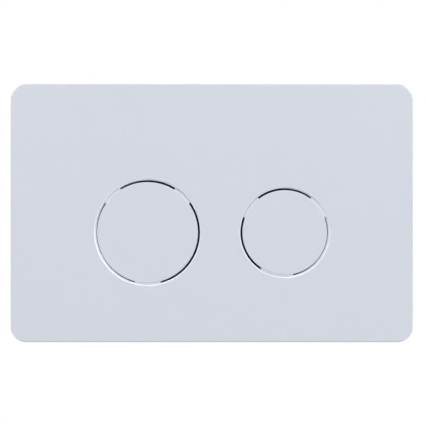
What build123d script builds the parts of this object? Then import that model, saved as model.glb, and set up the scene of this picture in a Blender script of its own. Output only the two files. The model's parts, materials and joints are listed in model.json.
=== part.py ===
from build123d import *
import math
import os

# Dual flush button plate for a concealed cistern, in millimetres.
# The pieces are drawn with the plate lying face up: X to the right, Y up the wall and Z out of
# the wall towards the user, with the wall at Z = 0. The export stands them upright, face to -Y.

# Cover
plate_width = 246.0
plate_height = 158.0
plate_projection = 11.0
plate_corner_radius = 9.5
plate_edge_radius = 1.0
face_thickness = 2.6
rim_thickness = 2.4
collar_depth = 9.0
collar_thickness = 2.6
collar_edge_radius = 0.8
stiffener_thickness = 1.4
stiffener_inset = 13.0
pry_notch_width = 10.0
pry_notch_depth = 1.2

# Buttons, with the middle angle and the width of each guide land in degrees
button_level = -11.9
full_button_x = -39.3
full_button_radius = 30.85
full_button_lands = ((46.5, 23.0), (133.5, 23.0), (270.0, 29.0))
half_button_x = 44.65
half_button_radius = 25.9
half_button_lands = ((37.0, 31.0), (143.5, 32.0), (259.0, 44.0))
button_gap = 1.25
button_edge_radius = 0.5
button_face_thickness = 2.4
button_travel = 6.0
skirt_length = 9.8
skirt_thickness = 1.8
land_setback = 0.3
button_boss_wall = 3.0
button_boss_length = 4.0
button_rib_count = 6
button_rib_thickness = 1.5
button_rib_height = 3.0
spring_ring_thickness = 1.4
spring_ring_height = 2.0

# Plungers and retaining clips
plunger_wall = 1.55
plunger_tail = 5.8
plunger_flange_width = 3.0
plunger_flange_thickness = 2.0
spigot_radius = 5.0
clip_thickness = 1.0
clip_width = 3.4
clip_opening = 70.0
clip_groove_depth = 0.9

# Push rods and lock nuts
rod_radius = 4.0
rod_engagement = 13.0
rod_reach = 66.0
rod_chamfer = 0.8
rod_nose_radius = 3.2
rod_nose_length = 8.0
nut_wall = 2.45
nut_height = 6.0
nut_chamfer = 0.7

# Springs
spring_wire_radius = 0.55
spring_active_turns = 4
spring_end_turns = 1
spring_sides = 6
spring_steps_per_turn = 14

# Carriers and their screws
carrier_wall = 1.7
carrier_lip_height = 4.0
carrier_lip_thickness = 0.8
carrier_flange_width = 1.5
carrier_flange_thickness = 2.0
carrier_floor_thickness = 2.2
carrier_ear_radius = 4.2
carrier_rib_count = 6
carrier_rib_thickness = 1.6
carrier_rib_setback = 1.6
guide_length = 15.2
guide_wall = 2.4
guide_stand = 1.0
screw_angles = (90.0, 210.0, 330.0)
screw_radius = 1.25
screw_point = 1.2
screw_head_overhang = 1.65
screw_head_height = 2.1
screw_head_chamfer = 0.5
screw_recess_length = 3.6
screw_recess_width = 0.9
screw_recess_depth = 1.1
screw_boss_wall = 2.1

# Mounting frame and the hooks that snap the cover onto it
frame_gap = 7.6
frame_corner_radius = 5.0
frame_thickness = 2.2
frame_lip_thickness = 1.6
frame_lip_height = 2.0
frame_rib_thickness = 1.4
frame_rib_height = 1.5
frame_rib_spacing = 32.0
contact_bead_width = 9.0
contact_bead_height = 0.8
window_corner_radius = 6.0
hook_inset = 8.0
hook_width = 12.0
hook_thickness = 2.0
hook_catch = 1.2
hook_catch_land = 0.6
hook_lead_length = 2.0
hook_gusset_length = 3.0

# Fixing bolts and washers
bolt_radius = 4.0
bolt_neck_relief = 0.4
bolt_neck_run_out = 2.0
bolt_thread_length = 80.0
bolt_head_overhang = 3.0
bolt_head_height = 5.0
bolt_slot_width = 1.8
bolt_slot_depth = 2.2
bolt_chamfer = 0.8
washer_overhang = 1.0
washer_thickness = 1.2
well_depth = 6.0
well_wall = 1.8
well_floor_thickness = 2.0
bolt_adjustment = 6.0

# Rubber buffers between the frame and the cover
buffer_radius = 4.0
buffer_stem_radius = 2.0
buffer_bulb_overhang = 0.6
buffer_inset = 7.0

# Clearances
guide_clearance = 0.15
running_clearance = 0.1
joint_clearance = 0.05
stop_clearance = 0.4
clip_clearance = 0.2
carrier_bore_clearance = 0.3
carrier_floor_clearance = 3.2
spring_side_clearance = 0.95
spring_ring_clearance = 0.75
screw_hole_clearance = 0.45
screw_head_clearance = 0.35
screw_tip_clearance = 0.5
screw_tip_margin = 0.9
rod_end_clearance = 1.0
window_clearance = 3.2
hook_side_clearance = 0.3
hook_catch_clearance = 0.2
bolt_hole_clearance = 0.4
well_clearance = 1.0
buffer_wall_clearance = 0.1
stiffener_clearance = 0.6
stiffener_buffer_clearance = 1.0
stiffener_row_clearance = 6.0

# How far ribs, posts and collars run into the wall that carries them
weld = 0.5

# Heights that follow from the sizes above
face_back = plate_projection - face_thickness
carrier_seat = plate_projection - collar_depth
button_back = plate_projection - button_face_thickness
skirt_end = plate_projection - skirt_length
boss_end = button_back - button_boss_length
plunger_flange_back = boss_end - plunger_flange_thickness
guide_front = plunger_flange_back - button_travel - stop_clearance
guide_rear = guide_front - guide_length
clip_front = guide_rear - clip_clearance
clip_rear = clip_front - clip_thickness
plunger_end = clip_rear - plunger_tail
lip_top = carrier_seat + carrier_lip_height
flange_back = carrier_seat - carrier_flange_thickness
floor_front = min(skirt_end - button_travel - carrier_floor_clearance, guide_front - guide_stand)
floor_back = floor_front - carrier_floor_thickness
screw_tip = face_back - screw_tip_margin
frame_front = contact_bead_height + frame_thickness
frame_lip_top = frame_front + frame_lip_height
well_seat = -well_depth
well_back = well_seat - well_floor_thickness
washer_front = well_seat + washer_thickness
neck_end = well_back - bolt_neck_run_out

# Radii that follow from the sizes above
rod_bore = rod_radius + joint_clearance
clip_groove_radius = rod_bore + plunger_wall
plunger_radius = clip_groove_radius + clip_groove_depth
plunger_flange_radius = plunger_radius + plunger_flange_width
guide_bore = plunger_radius + running_clearance
guide_outside = guide_bore + guide_wall
button_boss_radius = spigot_radius + joint_clearance + button_boss_wall
coil_radius = max(plunger_flange_radius, guide_outside) + spring_side_clearance + spring_wire_radius
spring_ring_radius = coil_radius + spring_wire_radius + spring_ring_clearance
screw_head_radius = screw_radius + screw_head_overhang
screw_pilot_radius = screw_radius + joint_clearance
screw_boss_radius = screw_pilot_radius + screw_boss_wall
bolt_head_radius = bolt_radius + bolt_head_overhang
washer_radius = bolt_head_radius + washer_overhang
well_radius = washer_radius + well_clearance
bolt_hole_radius = bolt_radius + bolt_hole_clearance


class Station:
    # One button with everything behind it
    def __init__(self, name, x, radius, lands):
        self.name = name
        self.lands = lands
        self.place = Pos(x, button_level, 0)
        self.button_radius = radius
        self.hole_radius = radius + button_gap
        self.collar_radius = self.hole_radius + collar_thickness
        self.carrier_bore = self.hole_radius + carrier_bore_clearance
        self.lip_radius = self.carrier_bore + carrier_lip_thickness
        self.carrier_radius = self.carrier_bore + carrier_wall
        self.flange_radius = self.carrier_radius + carrier_flange_width
        self.screw_circle = self.carrier_radius + screw_head_radius + screw_head_clearance
        widest_ear = max(abs(math.cos(math.radians(angle))) for angle in screw_angles)
        ear_reach = widest_ear * self.screw_circle + carrier_ear_radius
        self.reach_sideways = abs(x) + max(self.flange_radius, ear_reach)
        self.reach_down = abs(button_level) + self.flange_radius

    def screw_places(self):
        return [Rot(0, 0, angle) * Pos(self.screw_circle, 0, 0) for angle in screw_angles]


full_flush = Station("full_flush", full_button_x, full_button_radius, full_button_lands)
half_flush = Station("half_flush", half_button_x, half_button_radius, half_button_lands)
stations = (full_flush, half_flush)

# Mounting frame outline, its window round the carriers and the bolts beside that window
inside_width = plate_width - 2 * rim_thickness
inside_height = plate_height - 2 * rim_thickness
frame_width = inside_width - 2 * frame_gap
frame_height = inside_height - 2 * frame_gap
window_half_width = max(s.reach_sideways for s in stations) + window_clearance
window_half_height = (
    max(s.reach_down for s in stations) + window_clearance + hook_thickness + hook_side_clearance
)
hook_x = window_half_width - window_corner_radius - hook_inset - hook_width / 2
hook_tip = window_half_height + hook_catch
bead_half_width = frame_width / 2 - contact_bead_width
bead_half_height = max(frame_height / 2 - contact_bead_width, hook_tip + hook_side_clearance)
bolt_x = window_half_width + frame_lip_thickness + well_radius + well_wall
bolt_places = [Pos(side * bolt_x, 0, 0) for side in (-1, 1)]
buffer_y = bead_half_height - buffer_radius - buffer_inset
buffer_places = [Pos(side * bolt_x, end * buffer_y, 0) for side in (-1, 1) for end in (-1, 1)]


def block(outline, bottom, top):
    return Pos(0, 0, bottom) * extrude(outline, top - bottom)


def turned(*points):
    # Solid of revolution about Z, from (radius, height) points
    return revolve(make_face(Plane.XZ * Polyline(*points, close=True)), Axis.Z)


def radial_web(thickness, *points):
    # Flat rib in a plane through Z, from (radius, height) points
    return extrude(make_face(Plane.XZ * Polyline(*points, close=True)), thickness / 2, both=True)


def sector(inner, outer, middle, width):
    # Piece of a flat ring, with its angles in degrees
    inside = CenterArc((0, 0), inner, middle - width / 2, width)
    outside = CenterArc((0, 0), outer, middle - width / 2, width)
    return make_face([inside, outside, Line(inside @ 0, outside @ 0), Line(inside @ 1, outside @ 1)])


def circles_at(part, radius, height):
    rings = part.edges().filter_by(GeomType.CIRCLE)
    return [e for e in rings if math.isclose(e.radius, radius) and math.isclose(e.center().Z, height)]


def cover_plate():
    outside = block(RectangleRounded(plate_width, plate_height, plate_corner_radius), 0, plate_projection)
    outside = fillet(outside.edges().group_by(Axis.Z)[-1], plate_edge_radius)
    inside_corner = max(plate_corner_radius - rim_thickness, plate_edge_radius)
    cover = outside - block(RectangleRounded(inside_width, inside_height, inside_corner), 0, face_back)
    cover += cover_stiffeners()
    for station in stations:
        cover += station.place * block(Circle(station.collar_radius), carrier_seat, face_back + weld)
        for place in station.screw_places():
            post = block(Circle(screw_boss_radius), carrier_seat, face_back + weld)
            cover += station.place * place * post
    for station in stations:
        cover -= station.place * block(Circle(station.hole_radius), 0, plate_projection)
        lip_seat = Circle(station.lip_radius + joint_clearance)
        cover -= station.place * block(lip_seat, carrier_seat, lip_top + joint_clearance)
        pilot = block(Circle(screw_pilot_radius), carrier_seat, screw_tip + screw_tip_clearance)
        for place in station.screw_places():
            cover -= station.place * place * pilot
    for side in (-1, 1):
        hook = Pos(side * hook_x, 0, 0) * cover_hook()
        cover += [hook, mirror(hook, about=Plane.XZ)]
    notch = Pos(0, -inside_height / 2 - rim_thickness / 2, 0)
    cover -= notch * block(Rectangle(pry_notch_width, 2 * rim_thickness), 0, pry_notch_depth)
    for station in stations:
        cover = fillet(circles_at(cover, station.hole_radius, plate_projection), collar_edge_radius)
    return cover


def cover_stiffeners():
    # Rib ring near the rim, with one rib above the collars and one between them
    ring_width = inside_width - 2 * stiffener_inset
    ring_height = inside_height - 2 * stiffener_inset
    rib = stiffener_thickness
    outline = Rectangle(ring_width, ring_height) - Rectangle(ring_width - 2 * rib, ring_height - 2 * rib)
    row = button_level + full_flush.screw_circle + screw_boss_radius + stiffener_row_clearance
    outline += Pos(0, row) * Rectangle(ring_width - rib, rib)
    left_edge = full_button_x + full_flush.collar_radius
    right_edge = half_button_x - half_flush.collar_radius
    outline += Pos((left_edge + right_edge) / 2, 0) * Rectangle(rib, ring_height - rib)
    outline -= [place * Circle(buffer_radius + stiffener_buffer_clearance) for place in buffer_places]
    return block(outline, frame_lip_top + stiffener_clearance, face_back + weld)


def cover_hook():
    # Springy arm with a barb that catches behind the upper edge of the frame's window
    arm_out = window_half_height - hook_side_clearance
    arm_in = arm_out - hook_thickness
    catch = contact_bead_height - hook_catch_clearance
    tip = catch - hook_catch_land - hook_lead_length
    root = face_back + weld
    arm = Polyline(
        (arm_in, root),
        (arm_out, root),
        (arm_out, catch),
        (hook_tip, catch),
        (hook_tip, catch - hook_catch_land),
        (arm_out, tip),
        (arm_in, tip),
        close=True,
    )
    gusset = Polyline(
        (arm_in + weld, root),
        (arm_in - hook_gusset_length, root),
        (arm_in - hook_gusset_length, face_back - weld),
        (arm_in + weld, face_back - hook_gusset_length),
        close=True,
    )
    hook = extrude(make_face(Plane.YZ * arm), hook_width / 2, both=True)
    return hook + extrude(make_face(Plane.YZ * gusset), stiffener_thickness / 2, both=True)


def button(station):
    outside = station.button_radius
    bore = outside - skirt_thickness
    cap = turned(
        (0, plate_projection),
        (outside, plate_projection),
        (outside, skirt_end),
        (bore, skirt_end),
        (bore, button_back),
        (0, button_back),
    )
    cap = fillet(circles_at(cap, outside, plate_projection), button_edge_radius)
    boss = Circle(button_boss_radius) - Circle(spigot_radius + joint_clearance)
    cap += block(boss, boss_end, button_back + weld)
    ring_outside = spring_ring_radius + spring_ring_thickness
    ring = Circle(ring_outside) - Circle(spring_ring_radius)
    cap += block(ring, button_back - spring_ring_height, button_back + weld)
    rib = radial_web(
        button_rib_thickness,
        (ring_outside - weld, button_back + weld),
        (bore + weld, button_back + weld),
        (bore + weld, button_back - button_rib_height),
        (ring_outside - weld, button_back - spring_ring_height),
    )
    cap += [Rot(0, 0, 360 * i / button_rib_count) * rib for i in range(button_rib_count)]
    land_radius = station.hole_radius - guide_clearance
    for middle, width in station.lands:
        land = sector(outside - weld, land_radius, middle, width)
        cap += block(land, skirt_end, plate_projection - land_setback)
    return cap


def plunger():
    shaft = turned(
        (0, button_back - joint_clearance),
        (spigot_radius, button_back - joint_clearance),
        (spigot_radius, boss_end),
        (plunger_flange_radius, boss_end),
        (plunger_flange_radius, plunger_flange_back),
        (plunger_radius, plunger_flange_back),
        (plunger_radius, clip_front),
        (clip_groove_radius, clip_front),
        (clip_groove_radius, clip_rear),
        (plunger_radius, clip_rear),
        (plunger_radius, plunger_end),
        (0, plunger_end),
    )
    socket_end = plunger_end + rod_engagement + rod_end_clearance
    return shaft - block(Circle(rod_bore), plunger_end, socket_end)


def retaining_clip():
    inside = clip_groove_radius + joint_clearance
    ring = sector(inside, inside + clip_width, 90, 360 - clip_opening)
    return block(ring, clip_rear + joint_clearance, clip_front - joint_clearance)


def push_rod():
    top = plunger_end + rod_engagement
    tip = plunger_end - rod_reach
    shoulder = tip + rod_nose_length
    return turned(
        (0, top),
        (rod_radius - rod_chamfer, top),
        (rod_radius, top - rod_chamfer),
        (rod_radius, shoulder + rod_chamfer),
        (rod_nose_radius, shoulder),
        (rod_nose_radius, tip + rod_chamfer),
        (rod_nose_radius - rod_chamfer, tip),
        (0, tip),
    )


def lock_nut():
    # Hexagon with its corners turned off at both ends
    corner_radius = 2 * (rod_bore + nut_wall) / math.sqrt(3)
    foot = plunger_end - nut_height
    hexagon = block(RegularPolygon(corner_radius, 6), foot, plunger_end)
    blank = turned(
        (0, plunger_end),
        (corner_radius - nut_chamfer, plunger_end),
        (corner_radius, plunger_end - nut_chamfer),
        (corner_radius, foot + nut_chamfer),
        (corner_radius - nut_chamfer, foot),
        (0, foot),
    )
    return (hexagon & blank) - block(Circle(rod_bore), foot, plunger_end)


def spring():
    # Round coil with closed end turns, as short straight steps along a helix
    first = floor_front + spring_wire_radius + joint_clearance
    last = button_back - spring_wire_radius - joint_clearance
    end_rise = 2 * spring_wire_radius * spring_end_turns
    active_pitch = (last - first - 2 * end_rise) / spring_active_turns
    turns = spring_active_turns + 2 * spring_end_turns
    points = []
    for i in range(round(turns * spring_steps_per_turn) + 1):
        turn = i / spring_steps_per_turn
        active = min(max(turn - spring_end_turns, 0), spring_active_turns)
        height = first + active * active_pitch + (turn - active) * 2 * spring_wire_radius
        angle = 2 * math.pi * turn
        points.append((coil_radius * math.cos(angle), coil_radius * math.sin(angle), height))
    path = Polyline(*points)
    section = Plane(origin=path @ 0, z_dir=path % 0) * RegularPolygon(spring_wire_radius, spring_sides)
    return sweep(section, path=path, transition=Transition.RIGHT)


def carrier(station):
    # Closed cup behind the hole, with a lip that centres it in the collar, a guide tube through
    # its floor and three screw ears
    cup = turned(
        (guide_bore, guide_front),
        (guide_outside, guide_front),
        (guide_outside, floor_front),
        (station.carrier_bore, floor_front),
        (station.carrier_bore, lip_top),
        (station.lip_radius, lip_top),
        (station.lip_radius, carrier_seat),
        (station.flange_radius, carrier_seat),
        (station.flange_radius, flange_back),
        (station.carrier_radius, flange_back),
        (station.carrier_radius, floor_back),
        (guide_outside, floor_back),
        (guide_outside, guide_rear),
        (guide_bore, guide_rear),
    )
    arm_length = station.screw_circle - station.carrier_bore
    arm = Pos(-arm_length / 2, 0) * Rectangle(arm_length, 2 * carrier_ear_radius)
    ear = Circle(carrier_ear_radius) + arm - Circle(screw_radius + screw_hole_clearance)
    room = block(Circle(station.carrier_bore), flange_back, carrier_seat)
    for place in station.screw_places():
        cup += place * block(ear, flange_back, carrier_seat) - room
    rib = radial_web(
        carrier_rib_thickness,
        (guide_outside - weld, guide_rear + carrier_rib_setback),
        (guide_outside - weld, floor_back + weld),
        (station.carrier_radius - carrier_wall, floor_back + weld),
        (station.carrier_radius - carrier_wall, floor_back - weld),
    )
    cup += [Rot(0, 0, 360 * i / carrier_rib_count) * rib for i in range(carrier_rib_count)]
    return cup


def carrier_screw():
    head_back = flange_back - screw_head_height
    screw = turned(
        (0, head_back),
        (screw_head_radius - screw_head_chamfer, head_back),
        (screw_head_radius, head_back + screw_head_chamfer),
        (screw_head_radius, flange_back),
        (screw_radius, flange_back),
        (screw_radius, screw_tip - screw_point),
        (0, screw_tip),
    )
    slot = Rectangle(screw_recess_length, screw_recess_width)
    cross = slot + Rot(0, 0, 90) * slot
    return screw - block(cross, head_back, head_back + screw_recess_depth)


def carrier_screws():
    screw = carrier_screw()
    return Compound([s.place * place * screw for s in stations for place in s.screw_places()])


def mounting_frame():
    outline = RectangleRounded(frame_width, frame_height, frame_corner_radius)
    lip = 2 * frame_lip_thickness
    window = RectangleRounded(2 * window_half_width, 2 * window_half_height, window_corner_radius)
    window_lip = RectangleRounded(
        2 * window_half_width + lip, 2 * window_half_height + lip, window_corner_radius + frame_lip_thickness
    )
    bead_inside = Rectangle(2 * bead_half_width, 2 * bead_half_height)
    rim_inside = RectangleRounded(
        frame_width - lip, frame_height - lip, frame_corner_radius - frame_lip_thickness
    )
    frame = block(outline, contact_bead_height, frame_front)
    frame += block(outline - bead_inside, 0, contact_bead_height + weld)
    frame += block(outline - rim_inside, frame_front - weld, frame_lip_top)
    frame += block(window_lip, frame_front - weld, frame_lip_top)
    frame += block(frame_ribs() & rim_inside, frame_front - weld, frame_front + frame_rib_height)
    well = block(Circle(well_radius + well_wall), well_back, frame_front + frame_rib_height)
    frame += [place * well for place in bolt_places]
    frame -= block(window, 0, frame_lip_top)
    slot = block(SlotCenterToCenter(bolt_adjustment, 2 * bolt_hole_radius), well_back, well_seat)
    for place in bolt_places:
        frame -= place * (block(Circle(well_radius), well_seat, frame_lip_top) + slot)
    buffer_seat = block(Circle(buffer_stem_radius + joint_clearance), 0, frame_front)
    buffer_seat += block(Circle(buffer_radius + joint_clearance), frame_front, frame_lip_top)
    frame -= [place * buffer_seat for place in buffer_places]
    return frame


def frame_ribs():
    # Cross ribs between the two lips, on the long bars and on the side bars
    columns = int(window_half_width / frame_rib_spacing)
    rows = int(window_half_height / frame_rib_spacing)
    ribs = Sketch()
    for i in range(-columns, columns + 1):
        ribs += Pos(i * frame_rib_spacing, 0) * Rectangle(frame_rib_thickness, frame_height)
    for i in range(-rows, rows + 1):
        ribs += Pos(0, i * frame_rib_spacing) * Rectangle(frame_width, frame_rib_thickness)
    return ribs


def fixing_bolt():
    head_front = washer_front + bolt_head_height
    tip = neck_end - bolt_thread_length
    neck_radius = bolt_radius - bolt_neck_relief
    bolt = turned(
        (0, head_front),
        (bolt_head_radius - bolt_chamfer, head_front),
        (bolt_head_radius, head_front - bolt_chamfer),
        (bolt_head_radius, washer_front),
        (neck_radius, washer_front),
        (neck_radius, neck_end),
        (bolt_radius, neck_end),
        (bolt_radius, tip + bolt_chamfer),
        (bolt_radius - bolt_chamfer, tip),
        (0, tip),
    )
    slot = Rectangle(2 * bolt_head_radius, bolt_slot_width)
    return bolt - block(slot, head_front - bolt_slot_depth, head_front)


def fixing_bolts():
    bolt = fixing_bolt()
    return Compound([place * bolt for place in bolt_places])


def fixing_washers():
    washer = block(Circle(washer_radius) - Circle(bolt_hole_radius), well_seat, washer_front)
    return Compound([place * washer for place in bolt_places])


def cover_buffers():
    buffer = turned(
        (0, face_back),
        (buffer_radius, face_back),
        (buffer_radius, frame_front),
        (buffer_stem_radius, frame_front),
        (buffer_stem_radius, contact_bead_height),
        (buffer_stem_radius + buffer_bulb_overhang, contact_bead_height),
        (buffer_stem_radius, buffer_wall_clearance),
        (0, buffer_wall_clearance),
    )
    return Compound([place * buffer for place in buffer_places])


pieces = {
    "cover_plate": cover_plate(),
    "carrier_screws": carrier_screws(),
    "mounting_frame": mounting_frame(),
    "fixing_bolts": fixing_bolts(),
    "fixing_washers": fixing_washers(),
    "cover_buffers": cover_buffers(),
}
for station in stations:
    behind = {
        "button": button(station),
        "plunger": plunger(),
        "retaining_clip": retaining_clip(),
        "push_rod": push_rod(),
        "lock_nut": lock_nut(),
        "spring": spring(),
        "carrier": carrier(station),
    }
    for name, piece in behind.items():
        pieces[f"{station.name}_{name}"] = station.place * piece

os.makedirs("parts", exist_ok=True)
upright = Rot(90, 0, 0)
for name, piece in pieces.items():
    export_step(upright * piece, f"parts/{name}.step")
    print(name, len(piece.solids()), "solids")
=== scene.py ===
import json
import math
import bmesh
import bpy
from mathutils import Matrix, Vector


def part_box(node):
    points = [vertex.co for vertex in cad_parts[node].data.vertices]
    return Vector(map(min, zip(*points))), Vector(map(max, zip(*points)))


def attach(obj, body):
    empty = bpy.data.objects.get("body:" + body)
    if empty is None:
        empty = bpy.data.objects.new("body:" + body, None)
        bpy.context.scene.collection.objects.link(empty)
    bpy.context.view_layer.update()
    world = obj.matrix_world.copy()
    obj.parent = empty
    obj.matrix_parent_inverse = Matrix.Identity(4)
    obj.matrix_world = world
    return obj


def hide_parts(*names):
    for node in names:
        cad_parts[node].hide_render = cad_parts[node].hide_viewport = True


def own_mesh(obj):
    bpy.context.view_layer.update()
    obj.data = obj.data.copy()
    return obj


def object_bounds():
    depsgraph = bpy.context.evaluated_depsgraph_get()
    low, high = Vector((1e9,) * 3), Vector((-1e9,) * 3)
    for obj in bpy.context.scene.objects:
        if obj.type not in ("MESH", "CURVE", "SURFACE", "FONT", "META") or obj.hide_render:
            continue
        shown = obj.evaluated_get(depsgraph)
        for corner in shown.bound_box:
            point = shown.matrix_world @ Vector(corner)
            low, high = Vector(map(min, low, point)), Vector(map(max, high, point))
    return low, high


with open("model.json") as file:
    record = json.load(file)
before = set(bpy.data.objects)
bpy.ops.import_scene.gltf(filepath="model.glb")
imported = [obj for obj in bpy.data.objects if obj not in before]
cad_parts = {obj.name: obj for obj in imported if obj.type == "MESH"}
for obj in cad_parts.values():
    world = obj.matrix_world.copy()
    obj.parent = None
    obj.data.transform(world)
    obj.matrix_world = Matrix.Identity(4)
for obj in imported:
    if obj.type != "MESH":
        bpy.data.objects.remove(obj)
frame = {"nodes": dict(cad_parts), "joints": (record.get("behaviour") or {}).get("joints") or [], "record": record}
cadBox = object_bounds()
nodes = frame["nodes"]
scene = bpy.context.scene
scene.view_settings.view_transform = "Standard"
mm = 0.001
fullTurn = 2 * math.pi
plainWhite = (1, 1, 1, 1)
print("frame loaded:", len(nodes), "nodes")


def screenColour(red, green, blue):  # screen values 0 to 255, to the linear colour that a shader wants
    return tuple(((c / 255 + 0.055) / 1.055) ** 2.4 for c in (red, green, blue)) + (1.0,)


class Value:  # one shader socket, so that sums can be written as sums
    def __init__(self, shader, socket):
        self.shader = shader
        self.socket = socket

    def maths(self, operation, first, second):
        return self.shader.node("ShaderNodeMath", {"operation": operation}, {0: first, 1: second})

    def __add__(self, other):
        return self.maths("ADD", self, other)

    def __radd__(self, other):
        return self.maths("ADD", other, self)

    def __sub__(self, other):
        return self.maths("SUBTRACT", self, other)

    def __rsub__(self, other):
        return self.maths("SUBTRACT", other, self)

    def __mul__(self, other):
        return self.maths("MULTIPLY", self, other)

    def __rmul__(self, other):
        return self.maths("MULTIPLY", other, self)


class Shader:  # the nodes of a material or of the world, while they are being wired
    def __init__(self, owner):
        owner.use_nodes = True
        self.owner = owner
        self.tree = owner.node_tree

    def node(self, kind, settings=None, sockets=None, output=0):
        made = self.tree.nodes.new(kind)
        for name, setting in (settings or {}).items():
            setattr(made, name, setting)
        for name, value in (sockets or {}).items():
            self.feed(made.inputs[name], value)
        return Value(self, made.outputs[output])

    def feed(self, socket, value):
        if isinstance(value, Value):
            self.tree.links.new(value.socket, socket)
        else:
            socket.default_value = value

    def place(self):
        return self.node("ShaderNodeTexCoord", output="Object")

    def along(self, axis):
        return self.node("ShaderNodeSeparateXYZ", None, {0: self.place()}, output=axis)

    def fromMiddle(self, axis):
        return self.node("ShaderNodeMath", {"operation": "ABSOLUTE"}, {0: self.along(axis)})

    def noise(self, scale, detail, stretch=(1, 1, 1)):
        where = self.node("ShaderNodeMapping", None, {"Vector": self.place(), "Scale": stretch})
        return self.node("ShaderNodeTexNoise", None, {"Vector": where, "Scale": scale, "Detail": detail})

    def above(self, value, edge, fade):  # 0 below the edge, 1 above it
        return self.node(
            "ShaderNodeMapRange", {"interpolation_type": "SMOOTHSTEP"},
            {"Value": value, "From Min": edge - fade, "From Max": edge + fade},
        )

    def below(self, value, edge, fade):
        return 1 - self.above(value, edge, fade)

    def blend(self, amount, first, second):  # 6, 7 and output 2 are the node's colour sockets
        return self.node("ShaderNodeMix", {"data_type": "RGBA"}, {0: amount, 6: first, 7: second}, output=2)

    def bump(self, height, strength, distance):
        return self.node(
            "ShaderNodeBump", None, {"Strength": strength, "Distance": distance, "Height": height}
        )

    def surface(self, **sockets):  # names with underscores stand for the shader's own socket names
        wired = {name.replace("_", " "): value for name, value in sockets.items()}
        return self.node("ShaderNodeBsdfPrincipled", None, wired)

    def layer(self, amount, lower, upper):
        return self.node("ShaderNodeMixShader", None, {0: amount, 1: lower, 2: upper})

    def rays(self, *kinds):  # 1 for rays of these kinds, 0 for all others
        found = [self.node("ShaderNodeLightPath", output=f"Is {kind} Ray") for kind in kinds]
        return sum(found[1:], found[0])

    def show(self, shown, target="Material Output"):
        self.feed(self.tree.nodes[target].inputs["Surface"], shown)
        return self.owner


def newMaterial(name):
    shader = Shader(bpy.data.materials.new(name))
    shader.tree.nodes.remove(shader.tree.nodes["Principled BSDF"])
    return shader


# Finishes; a spread is how far a pattern moves the roughness

whiteFinish = {
    "colour": screenColour(214, 217, 226),
    "cloud": screenColour(211, 216, 227),
    "cloudScale": 14.0,
    "cloudStretch": (1, 1, 2),
    "peelScale": 420.0,  # faint orange peel of the lacquer
    "detail": 2.0,
    "roughness": 0.26,
    "spread": 0.06,
    "bump": 0.03,
    "height": 0.2 * mm,
    "ior": 1.53,
}
barePaintedLightFinish = {  # inside of the moulding, which gets no lacquer, coloured whiter than the face as painted light on the hole walls
    # this white, brighter than the face, is painted light on the hole walls and in the gaps round the buttons
    "colour": screenColour(246, 249, 255),
    "grain": 2400.0,
    "detail": 2.0,
    "roughness": 0.75,
    "spread": 0.2,
    "bump": 0.2,
    "height": 0.04 * mm,
    "startDepth": 0.07 * mm,  # how far the lacquer runs round the edge of a hole
    "rimMargin": 1.4 * mm,
    "fade": 0.05 * mm,
}
mouldFinish = {  # what the moulded pieces behind the plate share
    "flowScale": 24.0,
    "flowDetail": 4.0,
    "flowStretch": (1, 1, 2.5),
    "grainDetail": 2.0,
    "spread": 0.18,
    "bump": 0.35,
    "height": 0.05 * mm,
}
darkFinish = {
    "colour": screenColour(30, 31, 33),
    "flow": screenColour(41, 42, 45),
    "grain": 3200.0,
    "roughness": 0.55,
}
greyFinish = {
    "colour": screenColour(128, 131, 136),
    "flow": screenColour(117, 120, 125),
    "grain": 2600.0,
    "roughness": 0.5,
}
naturalFinish = {
    "colour": screenColour(232, 230, 222),
    "flow": screenColour(221, 218, 206),
    "grain": 1800.0,
    "roughness": 0.38,
}
steelFinish = {
    "colour": screenColour(178, 180, 184),
    "dull": screenColour(150, 152, 157),
    "drawScale": 900.0,
    "drawDetail": 4.0,
    "drawStretch": (1, 0.15, 1),
    "roughness": 0.26,
    "spread": 0.16,
}
zincFinish = {
    "colour": screenColour(196, 199, 204),
    "spangle": screenColour(168, 172, 178),
    "cells": 1400.0,
    "roughness": 0.3,
    "spread": 0.2,
}
rubberFinish = {
    "colour": screenColour(34, 34, 35),
    "bloom": screenColour(52, 52, 54),
    "bloomScale": 260.0,
    "bloomDetail": 5.0,
    "roughness": 0.72,
    "spread": 0.2,
    "bump": 0.2,
    "height": 0.1 * mm,
}


def spreadAround(roughness, pattern, spread):  # a noise has its middle at a half
    return roughness + (pattern - 0.5) * spread


def lacquer(shader, look):
    cloud = shader.noise(look["cloudScale"], look["detail"], look["cloudStretch"])
    peel = shader.noise(look["peelScale"], look["detail"])
    return shader.surface(
        Base_Color=shader.blend(cloud, look["colour"], look["cloud"]),
        Roughness=spreadAround(look["roughness"], peel, look["spread"]),
        Normal=shader.bump(peel, look["bump"], look["height"]),
        IOR=look["ior"],
    )


def capWhite(look):
    shader = newMaterial("capWhite")
    return shader.show(lacquer(shader, look))


def coverWhite(look, inside):  # lacquered outside, unlacquered inside, the inside painted whiter than the face as painted light on the hole walls
    shader = newMaterial("coverWhite")
    grain = shader.noise(inside["grain"], inside["detail"])
    # the unlacquered side: whiter than the face, it is painted light that brightens the hole walls
    barePaintedLight = shader.surface(
        Base_Color=inside["colour"],
        Roughness=spreadAround(inside["roughness"], grain, inside["spread"]),
        Normal=shader.bump(grain, inside["bump"], inside["height"]),
        Specular_IOR_Level=0.0,
    )
    low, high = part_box("cover_plate")
    fade = inside["fade"]
    behindFace = shader.above(shader.along("Y"), low.y + inside["startDepth"], fade)
    insideX = shader.below(shader.fromMiddle("X"), high.x - inside["rimMargin"], fade)
    insideZ = shader.below(shader.fromMiddle("Z"), high.z - inside["rimMargin"], fade)
    return shader.show(shader.layer(behindFace * insideX * insideZ, lacquer(shader, look), barePaintedLight))


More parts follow.
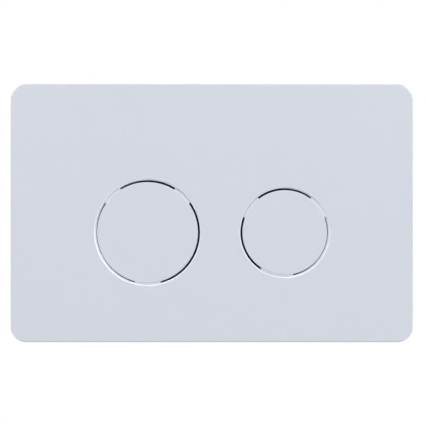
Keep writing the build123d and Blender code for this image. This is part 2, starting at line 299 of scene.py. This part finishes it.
def mouldedPlastic(name, look, mould):  # spark-eroded mould texture, with faint flow marks
    shader = newMaterial(name)
    flow = shader.noise(mould["flowScale"], mould["flowDetail"], mould["flowStretch"])
    grain = shader.noise(look["grain"], mould["grainDetail"])
    return shader.show(shader.surface(
        Base_Color=shader.blend(flow, look["colour"], look["flow"]),
        Roughness=spreadAround(look["roughness"], grain, mould["spread"]),
        Normal=shader.bump(grain, mould["bump"], mould["height"]),
    ))


def springSteel(look):
    shader = newMaterial("springSteel")
    drawn = shader.noise(look["drawScale"], look["drawDetail"], look["drawStretch"])
    return shader.show(shader.surface(
        Base_Color=shader.blend(drawn, look["colour"], look["dull"]),
        Metallic=1.0,
        Roughness=look["roughness"] + drawn * look["spread"],
    ))


def zincPlate(look):
    shader = newMaterial("zincPlate")
    spangle = shader.node("ShaderNodeTexVoronoi", None, {"Vector": shader.place(), "Scale": look["cells"]})
    return shader.show(shader.surface(
        Base_Color=shader.blend(spangle, look["colour"], look["spangle"]),
        Metallic=1.0,
        Roughness=look["roughness"] + spangle * look["spread"],
    ))


def blackRubber(look):
    shader = newMaterial("blackRubber")
    bloom = shader.noise(look["bloomScale"], look["bloomDetail"])
    return shader.show(shader.surface(
        Base_Color=shader.blend(bloom, look["colour"], look["bloom"]),
        Roughness=look["roughness"] + bloom * look["spread"],
        Normal=shader.bump(bloom, look["bump"], look["height"]),
    ))


finishes = {
    "gloss_white_plastic": capWhite(whiteFinish),
    "dark_plastic": mouldedPlastic("darkPlastic", darkFinish, mouldFinish),
    "grey_plastic": mouldedPlastic("greyPlastic", greyFinish, mouldFinish),
    "natural_plastic": mouldedPlastic("naturalPlastic", naturalFinish, mouldFinish),
    "spring_steel": springSteel(steelFinish),
    "zinc_steel": zincPlate(zincFinish),
    "black_rubber": blackRubber(rubberFinish),
}
slotOf = {part["node"]: part["material_slot"] for part in frame["record"]["subparts"]}
finishOf = {node: finishes[slot] for node, slot in slotOf.items()}
finishOf["cover_plate"] = coverWhite(whiteFinish, barePaintedLightFinish)
print("finishes made:", len(finishes) + 1)


# Hand tools, used on every piece

mergeDistance = 0.002 * mm
cutTolerance = 0.0002 * mm


def select(piece):
    bpy.ops.object.select_all(action="DESELECT")
    piece.select_set(True)
    bpy.context.view_layer.objects.active = piece


def editAll(piece):
    select(piece)
    bpy.ops.object.mode_set(mode="EDIT")
    bpy.ops.mesh.select_all(action="SELECT")


def leaveEdit():
    bpy.ops.object.mode_set(mode="OBJECT")
    return bpy.context.object


def weld(piece):
    editAll(piece)
    bpy.ops.mesh.remove_doubles(threshold=mergeDistance)
    return leaveEdit()


def closeUp(piece):  # seams welded, open ends filled, faces turned outwards
    weld(piece)
    editAll(piece)
    bpy.ops.mesh.fill_holes(sides=0)
    bpy.ops.mesh.select_all(action="SELECT")
    bpy.ops.mesh.normals_make_consistent(inside=False)
    return leaveEdit()


def moveMesh(piece, step):
    editAll(piece)
    bpy.ops.transform.translate(value=step)
    return leaveEdit()


def putAt(piece, node):  # from the Y axis to the middle of a node
    low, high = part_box(node)
    middle = (low + high) / 2
    moveMesh(piece, (middle.x, 0, middle.z))


def drawLine(name, points):  # a line of edges, drawn point by point from (radius, depth)
    spots = [Vector((radius, depth, 0)) for radius, depth in points]
    bpy.ops.object.select_all(action="DESELECT")
    bpy.ops.mesh.primitive_plane_add(size=mm)
    piece = bpy.context.object
    piece.name = name
    bpy.ops.object.mode_set(mode="EDIT")
    bpy.ops.mesh.merge(type="CENTER")
    bpy.ops.transform.translate(value=spots[0])
    for before, after in zip(spots, spots[1:]):
        bpy.ops.mesh.extrude_vertices_move(TRANSFORM_OT_translate={"value": after - before})
    return leaveEdit()


def turnOnLathe(name, points, steps):  # spins a profile about the Y axis
    piece = drawLine(name, points)
    editAll(piece)
    bpy.ops.mesh.spin(steps=steps, angle=fullTurn, center=(0, 0, 0), axis=(0, 1, 0))
    leaveEdit()
    return closeUp(piece)


def applyModifier(piece, kind, **settings):
    select(piece)
    modifier = piece.modifiers.new(kind.lower(), kind)
    for name, setting in settings.items():
        setattr(modifier, name, setting)
    bpy.ops.object.modifier_apply(modifier=modifier.name)


def windUp(piece, rise, turns, steps):  # carries a closed line round the Y axis in a helix
    applyModifier(
        piece, "SCREW", axis="Y", angle=fullTurn, screw_offset=rise, iterations=turns,
        steps=steps, render_steps=steps, use_merge_vertices=True,
    )


def cutAway(piece, tool):  # cuts one shape out of another and clears the tool away
    applyModifier(piece, "BOOLEAN", operation="DIFFERENCE", object=tool, solver="EXACT")
    bpy.data.objects.remove(tool)
    return piece


def joinAll(pieces):  # the first one keeps its name
    select(pieces[0])
    for piece in pieces:
        piece.select_set(True)
    bpy.ops.object.join()
    return bpy.context.object


def smoothEdges(piece, angle):
    select(piece)
    bpy.ops.object.shade_smooth_by_angle(angle=math.radians(angle))


def smoothSolid(piece, angle):  # the flats stay flat beside the rounded edges
    smoothEdges(piece, angle)
    applyModifier(piece, "WEIGHTED_NORMAL", keep_sharp=True)


def dress(piece, node, body):
    piece.data.materials.clear()
    piece.data.materials.append(finishOf[node])
    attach(piece, body)
    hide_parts(node)


def ownCopy(source, name):
    piece = source.copy()
    piece.data = source.data.copy()
    piece.name = name
    piece.parent = None
    scene.collection.objects.link(piece)
    return piece


def weldedCopy(node, name, flatAngle=None):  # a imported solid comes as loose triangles
    piece = ownCopy(nodes[node], name)
    editAll(piece)
    bpy.ops.mesh.remove_doubles(threshold=mergeDistance)
    if flatAngle:
        bpy.ops.mesh.dissolve_limited(angle_limit=math.radians(flatAngle))
    leaveEdit()
    bpy.ops.mesh.customdata_custom_splitnormals_clear()
    return piece


# Show side: welded copies, so that the rounded edges shade smoothly

showPieces = {
    "coverShell": {"node": "cover_plate", "body": "plate"},
    "fullFlushCap": {"node": "full_flush_button", "body": "full_flush"},
    "halfFlushCap": {"node": "half_flush_button", "body": "half_flush"},
}
showAngle = 32


def showPiece(name, node, body):
    piece = weldedCopy(node, name)
    smoothSolid(piece, showAngle)
    dress(piece, node, body)


for name, source in showPieces.items():
    showPiece(name, **source)
print("show side made:", len(showPieces))


# Works behind the plate: welded copies, with the edges softened as a mould or a tool leaves them

workPieces = {
    "wallFrame": {"node": "mounting_frame", "body": "plate", "edge": 0.3 * mm},
    "fullFlushCup": {"node": "full_flush_carrier", "body": "plate", "edge": 0.25 * mm},
    "halfFlushCup": {"node": "half_flush_carrier", "body": "plate", "edge": 0.25 * mm},
    "fullFlushHexNut": {"node": "full_flush_lock_nut", "body": "full_flush", "edge": 0.18 * mm},
    "halfFlushHexNut": {"node": "half_flush_lock_nut", "body": "half_flush", "edge": 0.18 * mm},
    "fullFlushGuide": {"node": "full_flush_plunger", "body": "full_flush", "edge": 0.2 * mm},
    "halfFlushGuide": {"node": "half_flush_plunger", "body": "half_flush", "edge": 0.2 * mm},
    "fullFlushSnapRing": {"node": "full_flush_retaining_clip", "body": "full_flush", "edge": 0.08 * mm},
    "halfFlushSnapRing": {"node": "half_flush_retaining_clip", "body": "half_flush", "edge": 0.08 * mm},
    "boltWashers": {"node": "fixing_washers", "body": "plate", "edge": 0.2 * mm},
    "cupScrews": {"node": "carrier_screws", "body": "plate", "edge": 0.08 * mm},
    "rubberPads": {"node": "cover_buffers", "body": "plate", "edge": 0.25 * mm},
}
softening = {"flatAngle": 0.4, "sharpAngle": 34, "rounds": 2}  # angles in degrees


def selectOuterEdges(piece):  # sharp edges that stick out, not those in a corner
    editAll(piece)
    bpy.ops.mesh.select_all(action="DESELECT")
    mesh = bmesh.from_edit_mesh(piece.data)
    for edge in mesh.edges:
        if edge.is_manifold and edge.calc_face_angle_signed() > math.radians(softening["sharpAngle"]):
            edge.select_set(True)
    bmesh.update_edit_mesh(piece.data)


def workPiece(name, node, body, edge):
    piece = weldedCopy(node, name, softening["flatAngle"])
    selectOuterEdges(piece)
    bpy.ops.transform.edge_bevelweight(value=1.0)
    leaveEdit()
    applyModifier(
        piece, "BEVEL", limit_method="WEIGHT", width=edge,
        segments=softening["rounds"], use_clamp_overlap=False,
    )
    smoothSolid(piece, softening["sharpAngle"])
    dress(piece, node, body)


for name, source in workPieces.items():
    workPiece(name, **source)
print("works softened:", len(workPieces))


# Threads of the push rods and the fixing bolts

threadCut = {
    "pitch": 1.75 * mm,
    "depth": 0.7 * mm,
    "crest": 0.3,  # share of the pitch
    "root": 0.3,
    "overcut": 0.2 * mm,
    "startTurn": 2,  # degrees, so that no edge of the groove lies on one of the blank
    "steps": 36,
    "smoothAngle": 28,
}


def threadGroove(radius, start, end):  # what a thread leaves out, as a closed helix round the Y axis
    pitch = threadCut["pitch"]
    root = radius - threadCut["depth"]
    outer = radius + threadCut["overcut"]
    flare = (1 - threadCut["crest"] - threadCut["root"]) / 2 * pitch / threadCut["depth"]
    halfRoot = threadCut["root"] * pitch / 2
    halfOuter = halfRoot + flare * (outer - root)
    groove = weld(drawLine("threadGroove", (
        (root, start - halfRoot),
        (root, start + halfRoot),
        (outer, start + halfOuter),
        (outer, start - halfOuter),
        (root, start - halfRoot),
    )))
    windUp(groove, pitch, math.ceil((end - start) / pitch), threadCut["steps"])
    editAll(groove)
    turn = math.radians(threadCut["startTurn"])
    bpy.ops.transform.rotate(value=turn, orient_axis="Y", center_override=(0, 0, 0))
    leaveEdit()
    return closeUp(groove)


def cutThread(piece, radius, start, end):
    return cutAway(piece, threadGroove(radius, start, end))


rodShape = {"noseRadius": 3.2 * mm, "noseLength": 8.0 * mm, "chamfer": 0.8 * mm, "steps": 48}


def pushRod(name, node):
    low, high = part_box(node)
    radius = (high.x - low.x) / 2
    chamfer = rodShape["chamfer"]
    nose = rodShape["noseRadius"]
    shoulder = high.y - rodShape["noseLength"]
    rod = turnOnLathe(name, (
        (0, low.y),
        (radius - chamfer, low.y),
        (radius, low.y + chamfer),
        (radius, shoulder - chamfer),
        (nose, shoulder),
        (nose, high.y - chamfer),
        (nose - chamfer, high.y),
        (0, high.y),
    ), rodShape["steps"])
    cutThread(rod, radius, low.y - threadCut["pitch"], shoulder + threadCut["pitch"])
    smoothEdges(rod, threadCut["smoothAngle"])
    return rod


rod = pushRod("fullFlushThreadedRod", "full_flush_push_rod")
otherRod = ownCopy(rod, "halfFlushThreadedRod")
for piece, body in ((rod, "full_flush"), (otherRod, "half_flush")):
    node = f"{body}_push_rod"
    putAt(piece, node)
    dress(piece, node, body)
print("push rods threaded")


boltShape = {
    "headHeight": 5.0 * mm,
    "headEdge": 0.8 * mm,
    "radius": 4.0 * mm,
    "neckRadius": 3.6 * mm,
    "neckEnd": 10.0 * mm,  # behind the wall's face
    "chamfer": 0.8 * mm,
    "slotWidth": 1.8 * mm,
    "slotDepth": 2.2 * mm,
    "steps": 48,
}


def slotCutter(length, depth, width, level):  # half of it stands out in front of the head
    bpy.ops.object.select_all(action="DESELECT")
    bpy.ops.mesh.primitive_cube_add(size=1, location=(0, level, 0))
    cutter = bpy.context.object
    cutter.scale = (length, 2 * depth, width)
    bpy.ops.object.transform_apply(location=True, rotation=False, scale=True)
    return cutter


def fixingBolt(name):
    low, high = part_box("fixing_bolts")
    headRadius = (high.z - low.z) / 2
    headBack = low.y + boltShape["headHeight"]
    edge = boltShape["headEdge"]
    radius = boltShape["radius"]
    neck = boltShape["neckRadius"]
    chamfer = boltShape["chamfer"]
    bolt = turnOnLathe(name, (
        (0, low.y),
        (headRadius - edge, low.y),
        (headRadius, low.y + edge),
        (headRadius, headBack),
        (neck, headBack),
        (neck, boltShape["neckEnd"]),
        (radius, boltShape["neckEnd"] + chamfer),
        (radius, high.y - chamfer),
        (radius - chamfer, high.y),
        (0, high.y),
    ), boltShape["steps"])
    cutThread(bolt, radius, boltShape["neckEnd"] + threadCut["pitch"], high.y + threadCut["pitch"])
    cutAway(bolt, slotCutter(3 * headRadius, boltShape["slotDepth"], boltShape["slotWidth"], low.y))
    smoothEdges(bolt, threadCut["smoothAngle"])
    return bolt


low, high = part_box("fixing_bolts")
boltSide = high.x - (high.z - low.z) / 2
bolt = fixingBolt("threadedBolts")
otherBolt = ownCopy(bolt, "otherBolt")
moveMesh(bolt, (-boltSide, 0, 0))
moveMesh(otherBolt, (boltSide, 0, 0))
dress(joinAll([bolt, otherBolt]), "fixing_bolts", "plate")
print("fixing bolts threaded")


# Coil springs, round wire with closed and ground ends

springShape = {
    "wireRadius": 0.55 * mm,
    "wireSides": 12,
    "activeTurns": 4,
    "stepsPerTurn": 40,
    "ground": 0.25 * mm,
    "endGap": 0.04 * mm,
    "smoothAngle": 40,
}


def springTurns(start, coil, rise, turns):
    bpy.ops.object.select_all(action="DESELECT")
    bpy.ops.mesh.primitive_circle_add(
        vertices=springShape["wireSides"], radius=springShape["wireRadius"], location=(coil, start, 0)
    )
    piece = bpy.context.object
    bpy.ops.object.transform_apply(location=True, rotation=True, scale=True)
    windUp(piece, rise, turns, springShape["stepsPerTurn"])
    return piece


def coilSpring(name, node):
    low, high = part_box(node)
    wire = springShape["wireRadius"]
    coil = (high.z - low.z) / 2 - wire
    start = low.y + wire - springShape["ground"]
    length = high.y - low.y - 2 * wire + 2 * springShape["ground"]
    endRise = 2 * wire + springShape["endGap"]
    activeRise = (length - 2 * endRise) / springShape["activeTurns"]
    pieces = []
    for turns, rise in ((1, endRise), (springShape["activeTurns"], activeRise), (1, endRise)):
        pieces.append(springTurns(start, coil, rise, turns))
        start += turns * rise
    spring = joinAll(pieces)
    spring.name = name
    closeUp(spring)
    for level, side in ((low.y, -1), (high.y, 1)):  # the flats ground on both ends
        editAll(spring)
        bpy.ops.mesh.bisect(
            plane_co=(0, level, 0), plane_no=(0, side, 0),
            use_fill=True, clear_outer=True, threshold=cutTolerance,
        )
        leaveEdit()
    smoothEdges(spring, springShape["smoothAngle"])
    return spring


def squashWithButton(piece, node, joint):
    low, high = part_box(node)
    travel = next(j for j in frame["joints"] if j["name"] == joint)["range_m"][1]
    keep = 1 - travel / (high.y - low.y)
    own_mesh(piece)


spring = coilSpring("fullFlushCoil", "full_flush_spring")
otherSpring = ownCopy(spring, "halfFlushCoil")
for piece, button in ((spring, "full_flush"), (otherSpring, "half_flush")):
    node = f"{button}_spring"
    putAt(piece, node)
    dress(piece, node, "plate")
    squashWithButton(piece, node, f"{button}_press")
print("springs wound")


# Stage, light and camera

stage = {
    "floorLevel": -0.5,  # low enough for a camera straight below the part
    "floorSize": 12.0,
    "floorColour": screenColour(170, 170, 170),
    "floorRoughness": 0.9,
    # the disc of painted shadow on the floor round the part: its edge, fade and depth
    "shadowEdge": 0.21,
    "shadowFade": 0.07,
    "shadowDepth": 0.45,
    "skyGlow": 0.05,
}
cameraView = {"distance": 0.34, "lens": 47.17, "sensor": 36.0, "sideStep": 0.45 * mm, "lift": 0.36 * mm}
lamps = {
    "overhead": {"place": (1.1, -2.5, 5.3), "size": 2.4, "watts": 71.0},
    "right": {"place": (3.8, -3.8, 2.6), "size": 1.8, "watts": 203.0, "shinesPast": "fullFlushCap"},
    "left": {"place": (-3.8, -3.8, 2.2), "size": 1.8, "watts": 149.5, "shinesPast": "halfFlushCap"},
    "backRight": {"place": (2.0, 3.4, 3.0), "size": 2.0, "watts": 120.0, "mirrored": False},
    "backLeft": {"place": (-3.0, 3.0, 1.6), "size": 2.0, "watts": 70.0, "mirrored": False},
}


def makeFloor():  # white to the camera and in reflections, but for a disc round the part that is painted darker as painted shadow, in which the lit floor with the part's real soft shadow shows
    bpy.ops.object.select_all(action="DESELECT")
    bpy.ops.mesh.primitive_plane_add(size=stage["floorSize"], location=(0, 0, stage["floorLevel"]))
    floor = bpy.context.object
    floor.name = "floor"
    shader = newMaterial("paleFloor")
    pale = shader.surface(Base_Color=stage["floorColour"], Roughness=stage["floorRoughness"])
    white = shader.node("ShaderNodeEmission", None, {"Color": plainWhite, "Strength": 1.0})
    away = shader.node("ShaderNodeVectorMath", {"operation": "LENGTH"}, {0: shader.place()}, output="Value")
    # painted shadow: a disc under the part, darker by distance alone, where the white gives way to the lit floor
    paintedShadowDisc = shader.below(away, stage["shadowEdge"], stage["shadowFade"])
    paleness = 1 - stage["shadowDepth"] * paintedShadowDisc
    shader.show(shader.layer(paleness * shader.rays("Camera", "Glossy"), pale, white))
    floor.data.materials.append(shader.owner)


def makeSky():  # white to the camera and in reflections, a soft even glow to everything else
    scene.world = bpy.data.worlds.new("studio")
    shader = Shader(scene.world)
    glow = shader.node("ShaderNodeBackground", None, {"Color": plainWhite, "Strength": stage["skyGlow"]})
    white = shader.node("ShaderNodeBackground", None, {"Color": plainWhite, "Strength": 1.0})
    seen = shader.rays("Camera", "Glossy", "Transmission")
    shader.show(shader.layer(seen, glow, white), "World Output")


def shadowsWithout(piece):  # a lamp with this list of blockers shines past the piece
    blockers = bpy.data.collections.new(f"shinesPast.{piece}")
    blockers.objects.link(bpy.data.objects[piece])
    blockers.collection_objects[0].light_linking.link_state = "EXCLUDE"
    return blockers


def makeLamp(name, place, size, watts, shinesPast=None, mirrored=True):
    bpy.ops.object.light_add(type="AREA", location=place)
    lamp = bpy.context.object
    lamp.name = name
    lamp.data.size = size
    lamp.data.energy = watts
    lamp.visible_glossy = mirrored
    if shinesPast:
        lamp.light_linking.blocker_collection = shadowsWithout(shinesPast)
    lamp.rotation_euler = (-Vector(place)).to_track_quat("-Z", "Y").to_euler()


def makeCamera():
    faceFront = cadBox[0][1]
    bpy.ops.object.camera_add(
        location=(cameraView["sideStep"], faceFront - cameraView["distance"], cameraView["lift"]),
        rotation=(math.radians(90), 0, 0),
    )
    camera = bpy.context.object
    camera.data.lens = cameraView["lens"]
    camera.data.sensor_width = cameraView["sensor"]
    scene.camera = camera


makeFloor()
makeSky()
for name, lamp in lamps.items():
    makeLamp(name, **lamp)
makeCamera()
print("stage, light and camera set")
